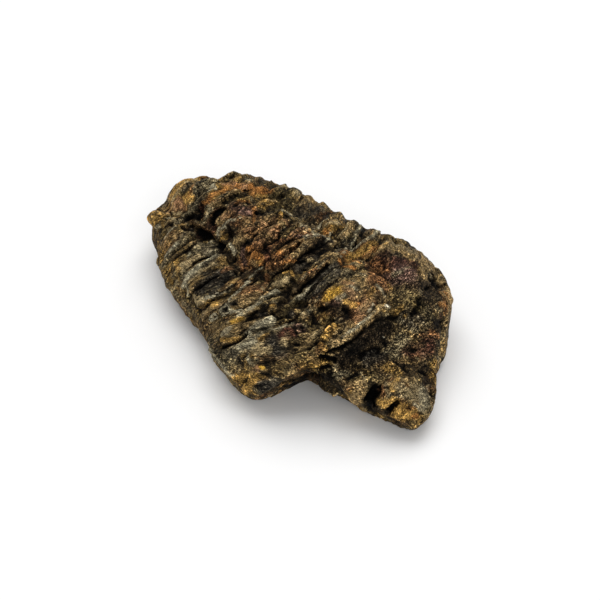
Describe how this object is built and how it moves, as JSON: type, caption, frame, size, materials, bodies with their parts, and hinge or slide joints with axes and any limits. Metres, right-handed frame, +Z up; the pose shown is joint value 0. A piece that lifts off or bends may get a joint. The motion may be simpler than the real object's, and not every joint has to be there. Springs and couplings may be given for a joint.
{
  "type": "trilobite fossil",
  "caption": "Trilobite fossil in one lump of stone: ribbed back with a raised middle lobe, small tail, broad head broken at the front, flat underside to lie on.",
  "frame": {"origin": "on the resting plane, under the middle of the stone's box", "axes": "+X towards the animal's head, +Y to its far side, away from the missing corner, +Z up out of its back"},
  "size_m": [0.0584, 0.0366, 0.015],
  "materials": {
    "fossil_stone": "rough brown fossil stone with ochre, rust, grey and black mineral stains, slightly glossy in places"
  },
  "bodies": {
    "root": {"trilobite_fossil": "fossil_stone"}
  },
  "joints": []
}
